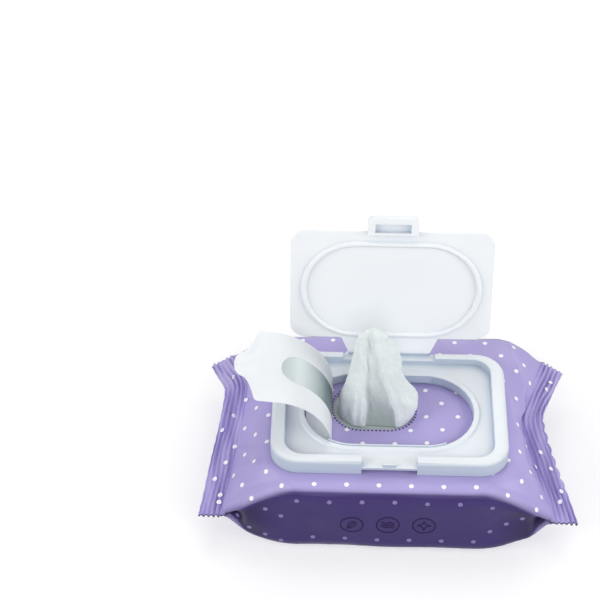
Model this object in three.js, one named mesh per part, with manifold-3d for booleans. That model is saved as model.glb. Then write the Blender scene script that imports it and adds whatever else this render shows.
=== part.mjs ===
import * as THREE from 'three';
import { mergeVertices } from 'three/addons/utils/BufferGeometryUtils.js';
import Module from 'manifold-3d';

// Opened pack of wet wipes. Millimetres, +Z up, resting on z = 0, long side along X, front at -Y.

// Moulded lid frame
const BASE_WIDTH = 112;
const BASE_DEPTH = 73.5;
const BASE_Y = -5.25;
const BASE_CORNER = 13.5;
const RIM_HEIGHT = 8.6;
const RIM_SIDE = 6.7;
const RIM_FRONT = 4.5;
const RIM_FILLET = 2.4;
const RECESS_DEPTH = 4.2;
const MOULD_WALL = 1.3;
const FLOOR_MARGIN = 5.5;
const BEAD_WIDTH = 3.2;
const BEAD_HEIGHT = 0.9;
const FRONT_GAP = 26;
const NIB_WIDTH = 6;
const NIB_DEPTH = 1.2;
const NIB_HEIGHT = 1.5;
const GLUE_GAP = 0.3;

// Flip lid
const LID_PLATE = 1.4;
const LID_CLEAR = 0.6;
const LID_CORNER = 7.5;
const LID_BEAD_WIDTH = 3;
const SEAL_CLEAR = 0.3;
const STRAP_LENGTH = 8.7;
const STRAP_LID_WIDTH = 47;
const STRAP_HINGE_WIDTH = 40;
const HINGE_CLEAR = 0.5;
const HINGE_WEB = 0.4;
const TAB_LENGTH = 8.5;
const TAB_CLEAR = 0.7;
const POCKET_WIDTH = 17;
const POCKET_WALL = 0.5;
const OPEN_ANGLE = 102;

// Film wrapper
const PACK_DEPTH = 108;
const PACK_HEIGHT = 41.6;
const FILM_WALL = 0.6;
const EDGE_RADIUS = 7;
const TOP_MARGIN = 1.5;
const FRONT_EDGE_HALF = 43;
const REAR_EDGE_HALF = 56;
const SEAL_WIDTH = 11;
const SEAL_THICK = 1.2;
const SEAL_HALF_DEPTH = 50;
const SEAL_TIP_X = 89.5;
const SEAL_TIP_Z = 18.8;
const SEAL_REAR_LIFT = 8;
const SEAL_RIDGES = 5;
const RIDGE_HEIGHT = 0.45;
const FOLD_RADIUS = 2.5;
const TOP_FALL = 1.25;
const UNDER_RISE = 2.2;
const LEFT_BEND = { y: 18, inset: 9, z: 32 };
const RIGHT_BEND = { y: 4, inset: 14, z: 31 };

// Dispensing hole, folded stack and the wipe drawn up through the hole
const HOLE_WIDTH_PART = 0.48;
const HOLE_DEPTH_PART = 0.6;
const HOLE_LEFT_PART = 0.086;
const HOLE_REAR_PART = 0.133;
const STACK_CLEAR = 0.4;
const WIPE_CLEAR = 0.5;
const WIPE_HEIGHT = 51;

// Seal label, peeled back to the left
const LABEL_CLEAR = 0.3;
const LABEL_THICK = 0.5;
const LABEL_MARGIN = 2.2;
const LABEL_HOLE_CLEAR = 0.8;
const LABEL_FOLD_RADIUS = 2.5;
const LABEL_CURL_RADIUS = 28;
const LABEL_CURL_ANGLE = 86;
const LABEL_FLAP = 10.5;
const LABEL_TAB = 10;
const LABEL_TAB_HALF = 8;
const LABEL_CORNER = 2.4;
const LABEL_LIFT = 2.2;
const LABEL_TWIST = 2;
const LABEL_LEVEL = 12;

// Sizes that follow from those above
const TOP_HALF = BASE_WIDTH / 2 + TOP_MARGIN;
const BASE_Z = PACK_HEIGHT + GLUE_GAP;
const RIM_Z = BASE_Z + RIM_HEIGHT;
const FLOOR_Z = RIM_Z - RECESS_DEPTH;
const BASE_FRONT = BASE_Y - BASE_DEPTH / 2;
const BASE_REAR = BASE_Y + BASE_DEPTH / 2;
const RECESS_WIDTH = BASE_WIDTH - 2 * RIM_SIDE;
const RECESS_LENGTH = BASE_DEPTH - 2 * RIM_FRONT;
const RECESS_CORNER = BASE_CORNER - RIM_FRONT;
const BEAD_OUTER_WIDTH = RECESS_WIDTH - 2 * FLOOR_MARGIN;
const BEAD_OUTER_DEPTH = RECESS_LENGTH - 2 * FLOOR_MARGIN;
const WINDOW_WIDTH = BEAD_OUTER_WIDTH - 2 * BEAD_WIDTH;
const WINDOW_DEPTH = BEAD_OUTER_DEPTH - 2 * BEAD_WIDTH;
const HOLE_WIDTH = WINDOW_WIDTH * HOLE_WIDTH_PART;
const HOLE_DEPTH = WINDOW_DEPTH * HOLE_DEPTH_PART;
const HOLE_X = -WINDOW_WIDTH * HOLE_LEFT_PART;
const HOLE_Y = BASE_Y + WINDOW_DEPTH * HOLE_REAR_PART;
const LABEL_START = LABEL_MARGIN - WINDOW_WIDTH / 2;
const LABEL_FOLD_X = HOLE_X - HOLE_WIDTH / 2 - LABEL_HOLE_CLEAR;
const LABEL_STUCK = LABEL_FOLD_X - LABEL_FOLD_RADIUS - LABEL_START;
const LABEL_HALF = WINDOW_DEPTH / 2 - LABEL_MARGIN;
const HINGE_Y = BASE_REAR - HINGE_WEB;
const HINGE_Z = RIM_Z - LID_PLATE / 2;
const LID_WIDTH = RECESS_WIDTH - 2 * LID_CLEAR;
const LID_FRONT = BASE_FRONT + RIM_FRONT + LID_CLEAR;
const LID_REAR = HINGE_Y - STRAP_LENGTH;
const TAB_WIDTH = FRONT_GAP - 2 * TAB_CLEAR;
const NIB_Y = BASE_FRONT + NIB_DEPTH;

const wasm = await Module();
wasm.setup();

const lerp = THREE.MathUtils.lerp;
const smooth = THREE.MathUtils.smoothstep;

// Closed mesh through rings of equal point count; the last ring joins the first when cyclic,
// otherwise both end rings are capped by zipping their two halves together.
function loft(rings, cyclic = false) {
  const count = rings[0].length;
  const index = [];
  const steps = cyclic ? rings.length : rings.length - 1;
  for (let r = 0; r < steps; r++) {
    const a = r * count;
    const b = ((r + 1) % rings.length) * count;
    for (let i = 0; i < count; i++) {
      const j = (i + 1) % count;
      index.push(a + i, b + i, b + j, a + i, b + j, a + j);
    }
  }
  if (!cyclic) {
    const last = (rings.length - 1) * count;
    for (let i = 0; i < count / 2; i++) {
      const k = count - i - 1;
      if (i + 1 < k) {
        index.push(i, i + 1, k);
        index.push(last + i, last + k, last + i + 1);
      }
      if (i > 0) {
        index.push(i, k, k + 1);
        index.push(last + i, last + k + 1, last + k);
      }
    }
  }
  const geometry = new THREE.BufferGeometry();
  geometry.setAttribute('position', new THREE.Float32BufferAttribute(rings.flat(2), 3));
  geometry.setIndex(signedVolume(rings.flat(), index) < 0 ? index.reverse() : index);
  return geometry;
}

function signedVolume(points, index) {
  const [a, b, c] = [new THREE.Vector3(), new THREE.Vector3(), new THREE.Vector3()];
  let total = 0;
  for (let i = 0; i < index.length; i += 3) {
    a.fromArray(points[index[i]]);
    b.fromArray(points[index[i + 1]]);
    c.fromArray(points[index[i + 2]]);
    total += a.dot(b.cross(c));
  }
  return total;
}

function toSolid(geometry) {
  const plain = geometry.clone();
  plain.deleteAttribute('normal');
  plain.deleteAttribute('uv');
  const merged = mergeVertices(plain, 1e-4);
  return new wasm.Manifold(new wasm.Mesh({
    numProp: 3,
    vertProperties: merged.attributes.position.array,
    triVerts: Uint32Array.from(merged.index.array),
  }));
}

function toGeometry(body) {
  const mesh = body.getMesh();
  const geometry = new THREE.BufferGeometry();
  geometry.setAttribute('position', new THREE.BufferAttribute(mesh.vertProperties, 3));
  geometry.setIndex(new THREE.BufferAttribute(mesh.triVerts, 1));
  return geometry;
}

function box(x0, x1, y0, y1, z0, z1) {
  const geometry = new THREE.BoxGeometry(x1 - x0, y1 - y0, z1 - z0);
  geometry.translate((x0 + x1) / 2, (y0 + y1) / 2, (z0 + z1) / 2);
  return toSolid(geometry);
}

// Rounded rectangle in a level plane; a radius of half the depth makes a stadium.
const CORNER_STEPS = 8;
function outline(width, depth, radius, z, centreX = 0, centreY = BASE_Y) {
  const r = Math.max(Math.min(radius, depth / 2 - 0.2, width / 2 - 0.2), 0.2);
  const points = [];
  for (let corner = 0; corner < 4; corner++) {
    const sx = corner === 0 || corner === 3 ? 1 : -1;
    const sy = corner < 2 ? 1 : -1;
    for (let k = 0; k <= CORNER_STEPS; k++) {
      const angle = (corner + k / CORNER_STEPS) * Math.PI / 2;
      points.push([
        centreX + sx * (width / 2 - r) + r * Math.cos(angle),
        centreY + sy * (depth / 2 - r) + r * Math.sin(angle),
        z,
      ]);
    }
  }
  return points;
}

// Outline drawn in on every side by the same amount.
function inset(width, depth, radius, amount, z) {
  return outline(width - 2 * amount, depth - 2 * amount, radius - amount, z);
}

// Outer edge of an end seal at depth y: level near its tips, pulled in and up around its bend.
function sealEdge(side, y) {
  const bend = side < 0 ? LEFT_BEND : RIGHT_BEND;
  const reach = SEAL_HALF_DEPTH + (y < bend.y ? bend.y : -bend.y);
  const softness = 0.15;
  const away = Math.hypot(Math.min(Math.abs(y - bend.y) / reach, 1), softness) - softness;
  const rise = 1 - away / (Math.hypot(1, softness) - softness);
  return {
    x: side * (SEAL_TIP_X - bend.inset * rise),
    z: lerp(SEAL_TIP_Z, bend.z, rise),
  };
}

// Cross-section loop of the film in depth and in height from -1 below to 1 above: flat top and
// bottom with elliptical corners. Runs from the rear edge over the top to the front and back below.
function sectionLoop(halfDepth, cornerDepth, cornerHeight) {
  const cornerSteps = 5;
  const flatSteps = 12;
  const flat = halfDepth - cornerDepth;
  const upper = [];
  for (let k = 0; k <= cornerSteps; k++) {
    const angle = k / cornerSteps * Math.PI / 2;
    upper.push([
      flat + cornerDepth * Math.cos(angle),
      1 - cornerHeight + cornerHeight * Math.sin(angle),
    ]);
  }
  for (let k = 1; k < flatSteps; k++) {
    upper.push([flat * (1 - 2 * k / flatSteps), 1]);
  }
  for (let k = cornerSteps; k >= 0; k--) {
    upper.push([-upper[k][0], upper[k][1]]);
  }
  const lower = upper.map(([y, height]) => [y, -height]).reverse();
  return [[halfDepth, 0], ...upper, [-halfDepth, 0], ...lower];
}

// One ring of the film: stage 0 closes the straight body, stage 1 meets the seal's inner line,
// and band runs from there to the seal's outer edge. Towards the seal the top falls in a plane
// slope, the underside rises more slowly and the long edges sharpen to folds. The seal slopes
// on outwards at its rear end and lies level at its front end.
function filmRing(side, stage, band = 0) {
  const fall = Math.pow(stage, TOP_FALL);
  const rise = Math.pow(stage, UNDER_RISE);
  const corner = lerp(EDGE_RADIUS, FOLD_RADIUS, stage);
  const tipTop = lerp(PACK_HEIGHT, SEAL_TIP_Z + SEAL_THICK / 2, fall);
  const tipUnder = lerp(0, SEAL_TIP_Z - SEAL_THICK / 2, rise);
  const cornerHeight = Math.min(2 * corner / (tipTop - tipUnder), 0.9);
  const ridge = band > 0 && band < 1 ? RIDGE_HEIGHT * Math.sin(band * SEAL_RIDGES * 2 * Math.PI) : 0;
  const halfDepth = lerp(PACK_DEPTH / 2, SEAL_HALF_DEPTH, stage);
  return sectionLoop(halfDepth, corner, cornerHeight).map(([y, height]) => {
    const edge = sealEdge(side, y);
    const edgeHalf = y < 0 ? FRONT_EDGE_HALF : REAR_EDGE_HALF;
    const start = lerp(TOP_HALF, edgeHalf, smooth(Math.abs(y) / (PACK_DEPTH / 2), 0.62, 1));
    const inner = edge.x - side * SEAL_WIDTH * (1 - band);
    const seal = edge.z + SEAL_REAR_LIFT * (1 - band) * smooth(y / SEAL_HALF_DEPTH, 0.1, 1);
    const top = lerp(PACK_HEIGHT, seal + SEAL_THICK / 2, fall);
    const under = lerp(0, seal - SEAL_THICK / 2, rise);
    return [
      lerp(side * start, inner, band > 0 ? 1 : stage),
      y,
      lerp(under, top, (1 + height) / 2) + ridge,
    ];
  });
}

// Rings from the left end to the right end, over as many of the shoulders' steps as asked.
const SHOULDER_STEPS = 9;
function filmRings(steps) {
  const stages = Array.from({ length: steps + 1 }, (_, k) => k / SHOULDER_STEPS);
  const left = stages.map((stage) => filmRing(-1, stage)).reverse();
  return [...left, ...stages.map((stage) => filmRing(1, stage))];
}

// The same form drawn in towards the pack's middle on every side.
function filmInside(steps, amount) {
  const body = loft(filmRings(steps));
  body.translate(0, 0, -PACK_HEIGHT / 2);
  body.scale(
    1 - 2 * amount / TOP_HALF,
    1 - 1.5 * amount / (PACK_DEPTH / 2),
    1 - amount / (PACK_HEIGHT / 2),
  );
  body.translate(0, 0, PACK_HEIGHT / 2);
  return body;
}

function filmWrapper() {
  const count = SEAL_RIDGES * 2 + 1;
  const bands = [...Array.from({ length: count }, (_, k) => (k + 0.5) / count), 1];
  const seal = (side) => bands.map((band) => filmRing(side, 1, band));
  const outer = loft([...seal(-1).reverse(), ...filmRings(SHOULDER_STEPS), ...seal(1)]);
  const cavity = filmInside(SHOULDER_STEPS - 2, FILM_WALL);
  const hole = loft([PACK_HEIGHT - 3 * FILM_WALL, PACK_HEIGHT + 1].map((z) => holeOutline(0, z)));
  return toGeometry(toSolid(outer).subtract(toSolid(cavity)).subtract(toSolid(hole)));
}

function holeOutline(shrink, z) {
  const depth = HOLE_DEPTH - 2 * shrink;
  return outline(HOLE_WIDTH - 2 * shrink, depth, depth * 0.46, z, HOLE_X, HOLE_Y);
}

// The stack fills the cavity up to a clearance on every side.
function wipeStack() {
  return filmInside(SHOULDER_STEPS - 4, FILM_WALL + STACK_CLEAR);
}

// Height fraction, then left, right, front and back in parts of the hole's half size, then the
// depth of the hollow between the two columns in front.
const WIPE_PROFILE = [
  [0.03, -0.97, 0.97, -0.97, 0.95, 0.04],
  [0.1, -0.86, 0.98, -0.92, 0.9, 0.16],
  [0.2, -0.76, 0.98, -0.82, 0.88, 0.34],
  [0.32, -0.69, 0.93, -0.7, 0.86, 0.46],
  [0.44, -0.64, 0.74, -0.58, 0.82, 0.48],
  [0.58, -0.58, 0.63, -0.46, 0.78, 0.44],
  [0.72, -0.54, 0.62, -0.34, 0.72, 0.38],
  [0.84, -0.52, 0.58, -0.24, 0.66, 0.3],
  [0.92, -0.49, 0.46, -0.14, 0.58, 0.2],
  [0.97, -0.42, 0.26, -0.04, 0.48, 0.1],
  [1, -0.28, 0.02, 0.1, 0.34, 0.02],
];

function pulledWipe() {
  const foot = PACK_HEIGHT - FILM_WALL - STACK_CLEAR + WIPE_CLEAR / 2;
  const halfWidth = HOLE_WIDTH / 2 - WIPE_CLEAR;
  const halfDepth = HOLE_DEPTH / 2 - WIPE_CLEAR;
  const steps = 4 * (CORNER_STEPS + 1);
  const rows = WIPE_PROFILE.map(([part, left, right, front, back, hollow]) => {
    const middleX = (left + right) / 2;
    const middleY = (front + back) / 2;
    return Array.from({ length: steps }, (_, k) => {
      const angle = (k + 0.5) / steps * 2 * Math.PI;
      const across = Math.cos(angle);
      const along = Math.sin(angle);
      const pleat = 1 + 0.05 * smooth(part, 0.05, 0.3) * Math.cos(7 * angle);
      const groove = along < 0 ? hollow * along * along * Math.exp(-Math.pow(across / 0.45, 2)) : 0;
      return [
        HOLE_X + halfWidth * (middleX + (right - left) / 2 * across * pleat),
        HOLE_Y + halfDepth * (middleY + (back - front) / 2 * along * pleat + groove),
        PACK_HEIGHT + WIPE_HEIGHT * part,
      ];
    });
  });
  return loft([holeOutline(WIPE_CLEAR, foot), holeOutline(WIPE_CLEAR, PACK_HEIGHT + WIPE_CLEAR), ...rows]);
}

// The frame is one closed profile carried round the window: outer wall, rim, recess, floor, bead,
// window collar, then back along the hollow underside.
function lidBase() {
  const outer = (amount, z) => inset(BASE_WIDTH, BASE_DEPTH, BASE_CORNER, amount, z);
  const recess = (amount, z) => inset(RECESS_WIDTH, RECESS_LENGTH, RECESS_CORNER, amount, z);
  const bead = (amount, z) => inset(BEAD_OUTER_WIDTH, BEAD_OUTER_DEPTH, BEAD_OUTER_DEPTH / 2, amount, z);
  const fillet = [0, 0.25, 0.5, 0.75, 1].map((k) => {
    const angle = k * Math.PI / 2;
    return outer(RIM_FILLET * (1 - Math.cos(angle)), RIM_Z - RIM_FILLET * (1 - Math.sin(angle)));
  });
  const edge = 0.4;
  const beadTop = FLOOR_Z + BEAD_HEIGHT;
  const floorUnder = FLOOR_Z - MOULD_WALL;
  const rings = [
    outer(0, BASE_Z),
    ...fillet,
    recess(-edge, RIM_Z),
    recess(0, RIM_Z - edge),
    recess(0, FLOOR_Z),
    bead(0, FLOOR_Z),
    bead(edge, beadTop - edge),
    bead(2 * edge, beadTop),
    bead(BEAD_WIDTH - edge, beadTop),
    bead(BEAD_WIDTH, beadTop - edge),
    bead(BEAD_WIDTH, BASE_Z),
    bead(BEAD_WIDTH - MOULD_WALL, BASE_Z),
    bead(BEAD_WIDTH - MOULD_WALL, floorUnder),
    recess(-MOULD_WALL, floorUnder),
    recess(-MOULD_WALL, RIM_Z - MOULD_WALL),
    outer(MOULD_WALL + RIM_FILLET / 2, RIM_Z - MOULD_WALL),
    outer(MOULD_WALL, RIM_Z - MOULD_WALL - RIM_FILLET / 2),
    outer(MOULD_WALL, BASE_Z),
  ];
  const half = FRONT_GAP / 2;
  const wallTop = RIM_Z - MOULD_WALL / 2;
  const inFront = BASE_FRONT + RIM_FRONT + MOULD_WALL / 2;
  const notchHalf = (STRAP_LID_WIDTH + STRAP_HINGE_WIDTH) / 4 + TAB_CLEAR;
  const notchFloor = HINGE_Z - LID_PLATE / 2 - HINGE_CLEAR;
  let body = toSolid(loft(rings, true));
  for (const side of [-1, 1]) {
    const [near, far] = [side * half, side * (half + MOULD_WALL)].sort((a, b) => a - b);
    body = body.add(box(near, far, BASE_FRONT + MOULD_WALL / 2, inFront - MOULD_WALL, BASE_Z, wallTop));
  }
  body = body.subtract(box(-half, half, BASE_FRONT - 1, inFront, BASE_Z - 1, RIM_Z + 1));
  body = body.add(box(-half - 0.4, half + 0.4, BASE_FRONT, inFront + 1, floorUnder, FLOOR_Z));
  body = body.add(box(-NIB_WIDTH / 2, NIB_WIDTH / 2, NIB_Y - NIB_DEPTH / 2, NIB_Y + NIB_DEPTH / 2,
    FLOOR_Z - MOULD_WALL / 2, FLOOR_Z + NIB_HEIGHT));
  const rearInner = BASE_REAR - RIM_FRONT;
  body = body.add(box(-notchHalf - MOULD_WALL, notchHalf + MOULD_WALL, rearInner + MOULD_WALL / 2,
    BASE_REAR - MOULD_WALL / 2, notchFloor - MOULD_WALL, RIM_Z - MOULD_WALL / 2));
  body = body.subtract(box(-notchHalf, notchHalf, rearInner - MOULD_WALL, BASE_REAR + 1,
    notchFloor, RIM_Z + 1));
  body = body.add(box(-STRAP_HINGE_WIDTH / 2, STRAP_HINGE_WIDTH / 2, HINGE_Y - HINGE_WEB / 2,
    HINGE_Y + HINGE_WEB / 2, notchFloor - MOULD_WALL / 2, HINGE_Z));
  return toGeometry(body);
}

// Built closed, about the hinge line.
function flipLid() {
  const top = RIM_Z - HINGE_Z;
  const under = top - LID_PLATE;
  const front = LID_FRONT - HINGE_Y;
  const rear = LID_REAR - HINGE_Y;
  const depth = rear - front;
  const middle = (front + rear) / 2;
  const edge = 0.35;
  const plate = [[edge, under], [0, under + edge], [0, top - edge], [edge, top]].map(([amount, z]) =>
    outline(LID_WIDTH - 2 * amount, depth - 2 * amount, LID_CORNER - amount, z, 0, middle));
  const beadFoot = (BEAD_WIDTH - LID_BEAD_WIDTH) / 2;
  const beadDrop = RECESS_DEPTH - LID_PLATE - BEAD_HEIGHT - SEAL_CLEAR;
  const bead = (amount, z) => outline(BEAD_OUTER_WIDTH - 2 * amount, BEAD_OUTER_DEPTH - 2 * amount,
    BEAD_OUTER_DEPTH / 2 - amount, z, 0, BASE_Y - HINGE_Y);
  const roundBead = [0, 0.2, 0.4, 0.6, 0.8, 1].map((k) => bead(
    beadFoot + LID_BEAD_WIDTH * (1 - Math.cos(k * Math.PI)) / 2,
    under - beadDrop * Math.sin(k * Math.PI),
  ));
  const ring = loft([
    bead(beadFoot, under + edge),
    ...roundBead,
    bead(beadFoot + LID_BEAD_WIDTH, under + edge),
  ], true);
  const strapShape = new THREE.Shape([
    new THREE.Vector2(-STRAP_LID_WIDTH / 2, rear - 1),
    new THREE.Vector2(STRAP_LID_WIDTH / 2, rear - 1),
    new THREE.Vector2(STRAP_LID_WIDTH / 2, rear),
    new THREE.Vector2(STRAP_HINGE_WIDTH / 2, -HINGE_CLEAR),
    new THREE.Vector2(-STRAP_HINGE_WIDTH / 2, -HINGE_CLEAR),
    new THREE.Vector2(-STRAP_LID_WIDTH / 2, rear),
  ]);
  const strap = new THREE.ExtrudeGeometry(strapShape, { depth: LID_PLATE - 0.2, bevelEnabled: false });
  strap.translate(0, 0, under + 0.1);
  const tabUnder = top - RECESS_DEPTH + LID_CLEAR;
  const tabCorner = 3;
  const tab = [[edge, tabUnder], [0, tabUnder + edge], [0, top - edge], [edge, top]].map(([amount, z]) =>
    outline(TAB_WIDTH - 2 * amount, TAB_LENGTH + tabCorner - 2 * amount, tabCorner - amount, z,
      0, front + (tabCorner - TAB_LENGTH) / 2));
  const pocketFront = NIB_Y - NIB_DEPTH / 2 - TAB_CLEAR - HINGE_Y;
  const pocket = box(-POCKET_WIDTH / 2, POCKET_WIDTH / 2, pocketFront, front - POCKET_WALL,
    tabUnder - 1, top - MOULD_WALL);
  const beadRoom = box(-TAB_WIDTH / 2 - 1, TAB_WIDTH / 2 + 1, front + 0.8, front + 2 * tabCorner,
    tabUnder - 1, under);
  const tabBody = toSolid(loft(tab)).subtract(pocket).subtract(beadRoom);
  return toGeometry(toSolid(loft(plate)).add(toSolid(ring)).add(toSolid(strap)).add(tabBody));
}

// Half width of the label along its length: round where it is stuck, square at the free end,
// with a rounded pull tab.
function labelHalfWidth(run, bodyLength) {
  if (run < LABEL_HALF) {
    return Math.sqrt(LABEL_HALF * LABEL_HALF - (LABEL_HALF - run) * (LABEL_HALF - run));
  }
  if (run < bodyLength - LABEL_CORNER) {
    return LABEL_HALF;
  }
  if (run < bodyLength) {
    const turn = (run - bodyLength + LABEL_CORNER) / LABEL_CORNER;
    return LABEL_HALF - LABEL_CORNER * (1 - Math.sqrt(1 - turn * turn * 0.96));
  }
  const reach = (run - bodyLength) / LABEL_TAB;
  const shoulder = LABEL_HALF - LABEL_CORNER * 0.8 - LABEL_TAB_HALF;
  const neck = shoulder * Math.pow(1 - Math.min(reach / 0.6, 1), 2);
  return neck + LABEL_TAB_HALF * Math.sqrt(1 - Math.pow(reach, 4) * 0.98);
}

// The label's length profile in the XZ plane: stuck part, tight fold, wide curl, straight flap.
function labelPoint(run) {
  const curl = THREE.MathUtils.degToRad(LABEL_CURL_ANGLE);
  const bends = [
    [LABEL_STUCK, 0],
    [LABEL_FOLD_RADIUS * Math.PI / 2, 1 / LABEL_FOLD_RADIUS],
    [LABEL_CURL_RADIUS * curl, 1 / LABEL_CURL_RADIUS],
    [Infinity, 0],
  ];
  const point = { x: LABEL_START, z: PACK_HEIGHT + LABEL_CLEAR + LABEL_THICK / 2, angle: 0 };
  let left = run;
  for (const [length, curvature] of bends) {
    const step = Math.min(left, length);
    const turn = step * curvature;
    const chord = curvature > 0 ? 2 / curvature * Math.sin(turn / 2) : step;
    point.x += chord * Math.cos(point.angle + turn / 2);
    point.z += chord * Math.sin(point.angle + turn / 2);
    point.angle += turn;
    left -= step;
  }
  return point;
}

// Beyond the level stretch at the fold the label lifts, and its rear edge lifts more than its front.
function sealLabel() {
  const curlLength = LABEL_CURL_RADIUS * THREE.MathUtils.degToRad(LABEL_CURL_ANGLE);
  const foldEnd = LABEL_STUCK + LABEL_FOLD_RADIUS * Math.PI / 2;
  const curlEnd = foldEnd + curlLength;
  const bodyLength = curlEnd + LABEL_FLAP;
  const total = bodyLength + LABEL_TAB;
  const stops = [0.6, LABEL_STUCK, foldEnd, curlEnd, bodyLength - LABEL_CORNER, bodyLength, total];
  const steps = [6, 5, 13, 2, 3, 6];
  const runs = steps.flatMap((count, s) =>
    Array.from({ length: count }, (_, k) => lerp(stops[s], stops[s + 1], k / count)));
  const across = 6;
  const rings = [...runs, total].map((run) => {
    const { x, z, angle } = labelPoint(run);
    const half = labelHalfWidth(run, bodyLength);
    const free = smooth(run, LABEL_STUCK + LABEL_LEVEL, total);
    const place = (y, above) => {
      const offset = above - free * (LABEL_LIFT + LABEL_TWIST * y / LABEL_HALF);
      return [x - offset * Math.sin(angle), BASE_Y + y, z + offset * Math.cos(angle)];
    };
    const side = (sign) => Array.from({ length: across + 1 }, (_, i) =>
      place(sign * half * (1 - 2 * i / across), sign * LABEL_THICK / 2));
    return [place(half + 0.1, 0), ...side(1), place(-half - 0.1, 0), ...side(-1)];
  });
  return loft(rings);
}

function piece(name, geometry, colour, roughness) {
  const material = new THREE.MeshStandardMaterial({ color: colour, roughness, metalness: 0 });
  const mesh = new THREE.Mesh(geometry, material);
  mesh.name = name;
  return mesh;
}

const pack = new THREE.Group();
pack.name = 'wet_wipes_pack';
pack.add(piece('film_wrapper', filmWrapper(), 0xa99ed2, 0.4));
pack.add(piece('wipe_stack', wipeStack(), 0xe4ebea, 0.85));
pack.add(piece('pulled_wipe', pulledWipe(), 0xe4ebea, 0.85));
pack.add(piece('lid_base', lidBase(), 0xe9edf0, 0.35));
pack.add(piece('seal_label', sealLabel(), 0xebeff2, 0.5));

const lid = new THREE.Group();
lid.name = 'lid';
lid.position.set(0, HINGE_Y, HINGE_Z);
lid.rotation.x = -THREE.MathUtils.degToRad(OPEN_ANGLE);
lid.add(piece('flip_lid', flipLid(), 0xedf0f3, 0.35));
pack.add(lid);

export default pack;
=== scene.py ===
import math

import bmesh
import bpy
import numpy as np
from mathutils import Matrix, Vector, noise
from mathutils.bvhtree import BVHTree


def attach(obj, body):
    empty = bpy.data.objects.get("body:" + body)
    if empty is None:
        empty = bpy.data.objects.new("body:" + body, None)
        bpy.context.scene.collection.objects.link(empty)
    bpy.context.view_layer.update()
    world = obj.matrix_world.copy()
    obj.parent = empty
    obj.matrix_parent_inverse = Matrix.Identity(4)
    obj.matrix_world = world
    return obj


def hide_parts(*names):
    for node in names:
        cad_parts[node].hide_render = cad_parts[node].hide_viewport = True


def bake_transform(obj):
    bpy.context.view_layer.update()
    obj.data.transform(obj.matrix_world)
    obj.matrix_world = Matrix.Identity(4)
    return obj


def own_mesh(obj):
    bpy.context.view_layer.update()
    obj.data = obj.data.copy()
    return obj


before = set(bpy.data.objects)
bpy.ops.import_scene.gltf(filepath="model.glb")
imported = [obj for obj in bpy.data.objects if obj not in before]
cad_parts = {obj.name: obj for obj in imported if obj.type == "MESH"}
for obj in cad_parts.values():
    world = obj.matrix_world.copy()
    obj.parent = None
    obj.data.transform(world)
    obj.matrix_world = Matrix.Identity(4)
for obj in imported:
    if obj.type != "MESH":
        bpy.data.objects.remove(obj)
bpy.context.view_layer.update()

MM = 0.001
TURN = 2 * math.pi

# Sizes in millimetres, the same as the solids'
PACK_DEPTH, PACK_HEIGHT = 108.0, 41.6
EDGE_RADIUS, FOLD_RADIUS = 7.0, 2.5
TOP_HALF, FRONT_EDGE_HALF, REAR_EDGE_HALF = 57.5, 43.0, 56.0
TOP_FALL, UNDER_RISE = 1.25, 2.2
SEAL_WIDTH, SEAL_THICK, SEAL_HALF_DEPTH = 11.0, 1.2, 50.0
SEAL_TIP_X, SEAL_TIP_Z, SEAL_REAR_LIFT = 89.5, 18.8, 8.0
SEAL_RIDGES = 5
BASE_Y, BASE_WIDTH, BASE_DEPTH, BASE_CORNER = -5.25, 112.0, 73.5, 13.5
WINDOW_WIDTH, WINDOW_DEPTH = 81.2, 47.1
HOLE_X, HOLE_Y, HOLE_WIDTH, HOLE_DEPTH = -6.98, 1.01, 38.98, 28.26
HOLE_CORNER = HOLE_DEPTH * 0.46
HINGE, STRAP_HALF, OPEN_ANGLE = (0.0, 31.1, 49.8), 20.0, math.radians(102)
LABEL_START, LABEL_STUCK, LABEL_Z, LABEL_MARGIN = -38.4, 8.63, 42.15, 2.2
LABEL_HALF = WINDOW_DEPTH / 2 - LABEL_MARGIN
LABEL_FOLD_RADIUS, LABEL_CURL_RADIUS, LABEL_CURL = 2.5, 28.0, math.radians(86)
LABEL_FLAP, LABEL_TAB, LABEL_TAB_HALF, LABEL_CORNER = 10.5, 10.0, 8.0, 2.4
LABEL_LIFT, LABEL_TWIST, LABEL_LEVEL = 2.2, 2.0, 12.0
# Bend of each end seal: its place in depth, its inset and its height
LEFT_BEND = (18.0, 9.0, 32.0)
RIGHT_BEND = (4.0, 14.0, 31.0)


# Plain mathematics

def lerp(a, b, t):
    return a + (b - a) * t


def smooth(x, low, high):
    """Soft step from 0 at low to 1 at high."""
    t = np.clip((np.asarray(x, float) - low) / (high - low), 0, 1)
    return t * t * (3 - 2 * t)


def circle(count):
    """Unit directions spaced evenly round a circle."""
    angle = np.arange(count) / count * TURN
    return np.stack([np.cos(angle), np.sin(angle)], 1)


def unit(vectors):
    return vectors / np.maximum(np.linalg.norm(vectors, axis=-1, keepdims=True), 1e-9)


def run_along(points):
    """Length along lines of points (first axis), from 0 at their start."""
    steps = np.linalg.norm(np.diff(points, axis=0), axis=-1)
    return np.concatenate([np.zeros_like(steps[:1]), np.cumsum(steps, axis=0)])


def rolling_mean(values, reach):
    """Mean of each row and its neighbours, reach rows on either side, going round at the ends."""
    return sum(np.roll(values, k, axis=0) for k in range(-reach, reach + 1)) / (2 * reach + 1)


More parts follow.
